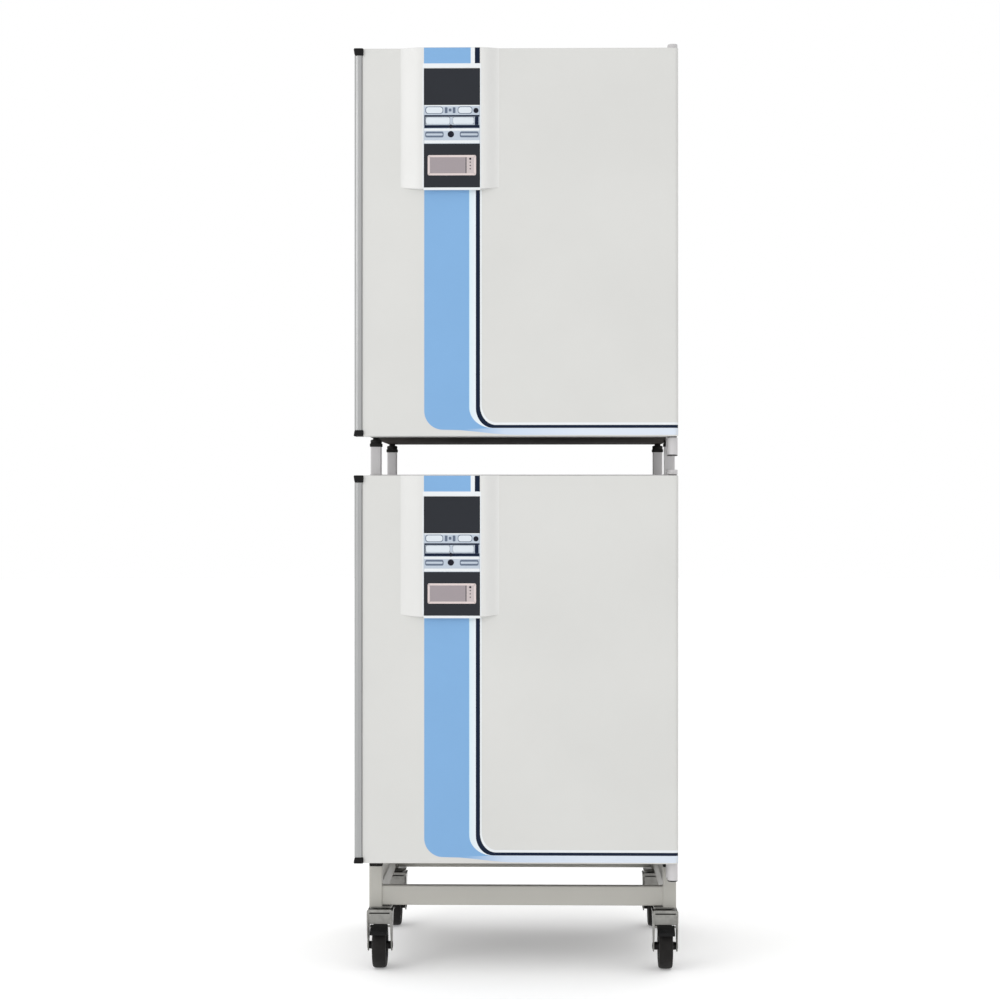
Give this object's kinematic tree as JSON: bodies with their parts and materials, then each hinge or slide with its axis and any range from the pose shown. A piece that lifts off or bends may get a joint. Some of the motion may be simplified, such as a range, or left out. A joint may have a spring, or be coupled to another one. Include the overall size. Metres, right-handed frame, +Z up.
{
  "type": "stacked laboratory incubators on a roller base",
  "caption": "Stacked pair of laboratory incubators with insulated outer doors, inner glass doors and shelved chambers, on a roller base with swivel casters.",
  "frame": {"origin": "on the floor, in the middle of the overall width and depth", "axes": "+Z up; the doors face -Y, their grips are at -X and their hinges at +X"},
  "size_m": [0.784, 0.834, 2.24],
  "materials": {
    "frame_paint": "satin powder coat, pale grey",
    "casing_paint": "satin powder coat, warm light grey",
    "door_paint": "smooth satin paint, warm light grey",
    "stainless": "fine brushed stainless steel",
    "caster_steel": "zinc-plated pressed steel",
    "foam": "rigid insulating foam",
    "black_rubber": "matt black rubber",
    "grey_rubber": "soft grey gasket",
    "silicone": "translucent white silicone",
    "grip_metal": "anodised extrusion",
    "black_plastic": "moulded black plastic",
    "white_plastic": "moulded white plastic, fine grain",
    "liner_plastic": "formed door liner",
    "display_glass": "smoked glossy window",
    "keypad_film": "printed keypad film",
    "key_pale": "pale blue key",
    "key_dark": "dark blue key",
    "clear_glass": "clear toughened glass",
    "motor_black": "black motor can",
    "fan_alloy": "cast and machined aluminium",
    "wheel_rubber": "black rubber tyre on a black plastic hub"
  },
  "bodies": {
    "root": {"roller_frame": "frame_paint", "stacking_frame": "frame_paint", "support_pads": "black_rubber", "caster_plates": "caster_steel", "upper_casing": "casing_paint", "lower_casing": "casing_paint", "upper_chamber": "stainless", "lower_chamber": "stainless", "cabinet_insulation": "foam", "rear_covers": "casing_paint", "cabinet_feet": "black_rubber", "hinge_brackets": "frame_paint", "shelf_posts": "stainless", "shelves": "stainless", "fan_motors": "motor_black", "chamber_covers": "stainless", "sensor_heads": "white_plastic", "chamber_seals": "silicone", "power_inlets": "black_plastic", "rear_ports": "stainless"},
    "lower_door": {"lower_door_skin": "door_paint", "lower_door_liner": "liner_plastic", "lower_door_core": "foam", "lower_door_gasket": "grey_rubber", "lower_door_handle": "grip_metal", "lower_handle_caps": "black_plastic", "lower_control_housing": "white_plastic", "lower_display_windows": "display_glass", "lower_keypad": "keypad_film"},
    "lower_glass": {"lower_glass_door": "clear_glass", "lower_glass_fittings": "stainless"},
    "lower_fan_rotor": {"lower_fan": "fan_alloy"},
    "lower_left_button": {"lower_left_key": "key_pale"},
    "lower_right_button": {"lower_right_key": "key_pale"},
    "lower_round_button": {"lower_round_key": "key_dark"},
    "upper_door": {"upper_door_skin": "door_paint", "upper_door_liner": "liner_plastic", "upper_door_core": "foam", "upper_door_gasket": "grey_rubber", "upper_door_handle": "grip_metal", "upper_handle_caps": "black_plastic", "upper_control_housing": "white_plastic", "upper_display_windows": "display_glass", "upper_keypad": "keypad_film"},
    "upper_glass": {"upper_glass_door": "clear_glass", "upper_glass_fittings": "stainless"},
    "upper_fan_rotor": {"upper_fan": "fan_alloy"},
    "upper_left_button": {"upper_left_key": "key_pale"},
    "upper_right_button": {"upper_right_key": "key_pale"},
    "upper_round_button": {"upper_round_key": "key_dark"},
    "swivel_fl": {"caster_fork_fl": "caster_steel"},
    "wheel_fl": {"caster_wheel_fl": "wheel_rubber"},
    "brake_fl": {"brake_lever_fl": "black_plastic"},
    "swivel_fr": {"caster_fork_fr": "caster_steel"},
    "wheel_fr": {"caster_wheel_fr": "wheel_rubber"},
    "brake_fr": {"brake_lever_fr": "black_plastic"},
    "swivel_rl": {"caster_fork_rl": "caster_steel"},
    "wheel_rl": {"caster_wheel_rl": "wheel_rubber"},
    "swivel_rr": {"caster_fork_rr": "caster_steel"},
    "wheel_rr": {"caster_wheel_rr": "wheel_rubber"}
  },
  "joints": [
    {"name": "lower_door_hinge", "type": "hinge", "parent": "root", "child": "lower_door", "pos_m": [0.376, -0.365, 0.734], "axis": [0, 0, 1], "range_deg": [0, 120]},
    {"name": "lower_glass_hinge", "type": "hinge", "parent": "root", "child": "lower_glass", "pos_m": [0.332, -0.321, 0.728], "axis": [0, 0, 1], "range_deg": [0, 84]},
    {"name": "lower_fan_spin", "type": "hinge", "parent": "root", "child": "lower_fan_rotor", "pos_m": [0.013, 0.266, 0.958], "axis": [0, 1, 0], "continuous": true},
    {"name": "lower_left_key_press", "type": "slide", "parent": "lower_door", "child": "lower_left_button", "axis": [0, 1, 0], "range_m": [0, 0.0012], "stiffness_N_per_m": 400, "springref_m": -0.0005},
    {"name": "lower_right_key_press", "type": "slide", "parent": "lower_door", "child": "lower_right_button", "axis": [0, 1, 0], "range_m": [0, 0.0012], "stiffness_N_per_m": 400, "springref_m": -0.0005},
    {"name": "lower_round_key_press", "type": "slide", "parent": "lower_door", "child": "lower_round_button", "axis": [0, 1, 0], "range_m": [0, 0.0012], "stiffness_N_per_m": 400, "springref_m": -0.0005},
    {"name": "upper_door_hinge", "type": "hinge", "parent": "root", "child": "upper_door", "pos_m": [0.376, -0.365, 1.76], "axis": [0, 0, 1], "range_deg": [0, 120]},
    {"name": "upper_glass_hinge", "type": "hinge", "parent": "root", "child": "upper_glass", "pos_m": [0.332, -0.321, 1.754], "axis": [0, 0, 1], "range_deg": [0, 84]},
    {"name": "upper_fan_spin", "type": "hinge", "parent": "root", "child": "upper_fan_rotor", "pos_m": [0.013, 0.266, 1.984], "axis": [0, 1, 0], "continuous": true},
    {"name": "upper_left_key_press", "type": "slide", "parent": "upper_door", "child": "upper_left_button", "axis": [0, 1, 0], "range_m": [0, 0.0012], "stiffness_N_per_m": 400, "springref_m": -0.0005},
    {"name": "upper_right_key_press", "type": "slide", "parent": "upper_door", "child": "upper_right_button", "axis": [0, 1, 0], "range_m": [0, 0.0012], "stiffness_N_per_m": 400, "springref_m": -0.0005},
    {"name": "upper_round_key_press", "type": "slide", "parent": "upper_door", "child": "upper_round_button", "axis": [0, 1, 0], "range_m": [0, 0.0012], "stiffness_N_per_m": 400, "springref_m": -0.0005},
    {"name": "swivel_fl", "type": "hinge", "parent": "root", "child": "swivel_fl", "pos_m": [-0.3345, -0.2725, 0.1365], "axis": [0, 0, 1], "continuous": true},
    {"name": "roll_fl", "type": "hinge", "parent": "swivel_fl", "child": "wheel_fl", "pos_m": [-0.3345, -0.3075, 0.055], "axis": [1, 0, 0], "continuous": true},
    {"name": "brake_fl", "type": "hinge", "parent": "swivel_fl", "child": "brake_fl", "pos_m": [-0.3345, -0.3385, 0.106], "axis": [1, 0, 0], "range_deg": [0, 14]},
    {"name": "swivel_fr", "type": "hinge", "parent": "root", "child": "swivel_fr", "pos_m": [0.3605, -0.2725, 0.1365], "axis": [0, 0, 1], "continuous": true},
    {"name": "roll_fr", "type": "hinge", "parent": "swivel_fr", "child": "wheel_fr", "pos_m": [0.3605, -0.3075, 0.055], "axis": [1, 0, 0], "continuous": true},
    {"name": "brake_fr", "type": "hinge", "parent": "swivel_fr", "child": "brake_fr", "pos_m": [0.3605, -0.3385, 0.106], "axis": [1, 0, 0], "range_deg": [0, 14]},
    {"name": "swivel_rl", "type": "hinge", "parent": "root", "child": "swivel_rl", "pos_m": [-0.3345, 0.3045, 0.1365], "axis": [0, 0, 1], "continuous": true},
    {"name": "roll_rl", "type": "hinge", "parent": "swivel_rl", "child": "wheel_rl", "pos_m": [-0.3345, 0.2695, 0.055], "axis": [1, 0, 0], "continuous": true},
    {"name": "swivel_rr", "type": "hinge", "parent": "root", "child": "swivel_rr", "pos_m": [0.3605, 0.3045, 0.1365], "axis": [0, 0, 1], "continuous": true},
    {"name": "roll_rr", "type": "hinge", "parent": "swivel_rr", "child": "wheel_rr", "pos_m": [0.3605, 0.2695, 0.055], "axis": [1, 0, 0], "continuous": true}
  ],
  "couplings": [
    {"joint": "lower_glass_hinge", "follows": "lower_door_hinge", "ratio": 0.7},
    {"joint": "upper_glass_hinge", "follows": "upper_door_hinge", "ratio": 0.7}
  ]
}
